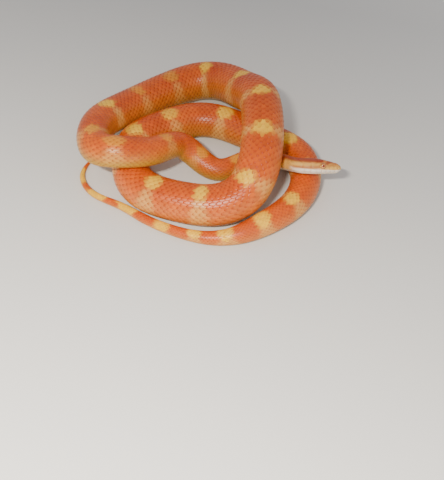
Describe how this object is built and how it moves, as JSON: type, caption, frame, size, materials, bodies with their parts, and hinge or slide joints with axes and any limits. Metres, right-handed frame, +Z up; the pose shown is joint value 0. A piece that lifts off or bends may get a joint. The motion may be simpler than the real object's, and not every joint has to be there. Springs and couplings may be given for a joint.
{
  "type": "corn snake figure",
  "caption": "Life-size still model of a corn snake lying loosely coiled on the floor, its head resting across its own body.",
  "frame": {"origin": "on the floor under the middle of the coiled body", "axes": "+Z up, +X the way the head points, -Y the side that the picture was taken from"},
  "size_m": [0.1692, 0.1594, 0.0474],
  "materials": {
    "snakeskin": "orange scaled skin with cream-yellow blotches, satin",
    "eye": "wet gloss, red pupil in an orange iris"
  },
  "bodies": {
    "root": {"head": "snakeskin", "neck": "snakeskin", "body_01": "snakeskin", "body_02": "snakeskin", "body_03": "snakeskin", "body_04": "snakeskin", "body_05": "snakeskin", "body_06": "snakeskin", "body_07": "snakeskin", "body_08": "snakeskin", "body_09": "snakeskin", "body_10": "snakeskin", "body_11": "snakeskin", "tail": "snakeskin", "tail_tip": "snakeskin", "eye_left": "eye", "eye_right": "eye"}
  },
  "joints": []
}
